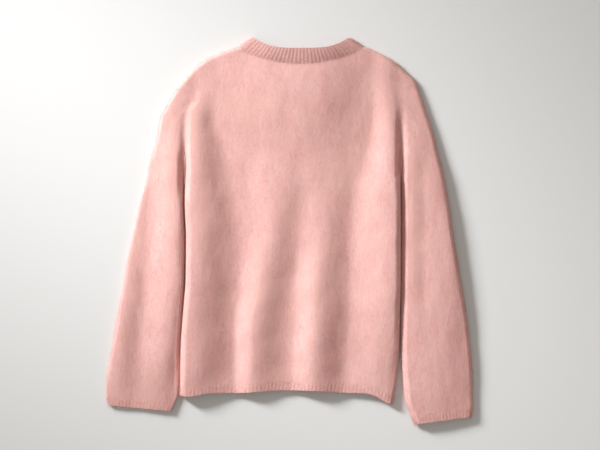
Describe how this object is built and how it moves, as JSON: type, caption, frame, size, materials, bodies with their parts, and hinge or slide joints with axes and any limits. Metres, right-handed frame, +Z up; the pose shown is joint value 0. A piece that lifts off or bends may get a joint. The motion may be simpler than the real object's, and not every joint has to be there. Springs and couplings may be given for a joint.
{
  "type": "mohair sweater",
  "caption": "Drop-shouldered crew-neck sweater in thick brushed knit, laid flat with its back up and its sleeves beside the body.",
  "frame": {"origin": "middle of the footprint on the surface it lies on", "axes": "+Z up, away from the surface; +Y from the hem to the neck; +X to the wearer's right, since the back is up"},
  "size_m": [0.6483, 0.6852, 0.024],
  "materials": {
    "brushed_knit": "matte brushed mohair knit with a long soft nap, pale pink",
    "brushed_sleeve_knit": "matte brushed mohair knit with a long soft nap, pale pink",
    "brushed_rib": "matte ribbed mohair knit, a little deeper pink"
  },
  "bodies": {
    "root": {"back_panel": "brushed_knit", "front_panel": "brushed_knit", "sleeve_left": "brushed_sleeve_knit", "sleeve_right": "brushed_sleeve_knit", "neckband": "brushed_rib", "hem_rib_back": "brushed_rib", "hem_rib_front": "brushed_rib", "cuff_left": "brushed_rib", "cuff_right": "brushed_rib"}
  },
  "joints": []
}
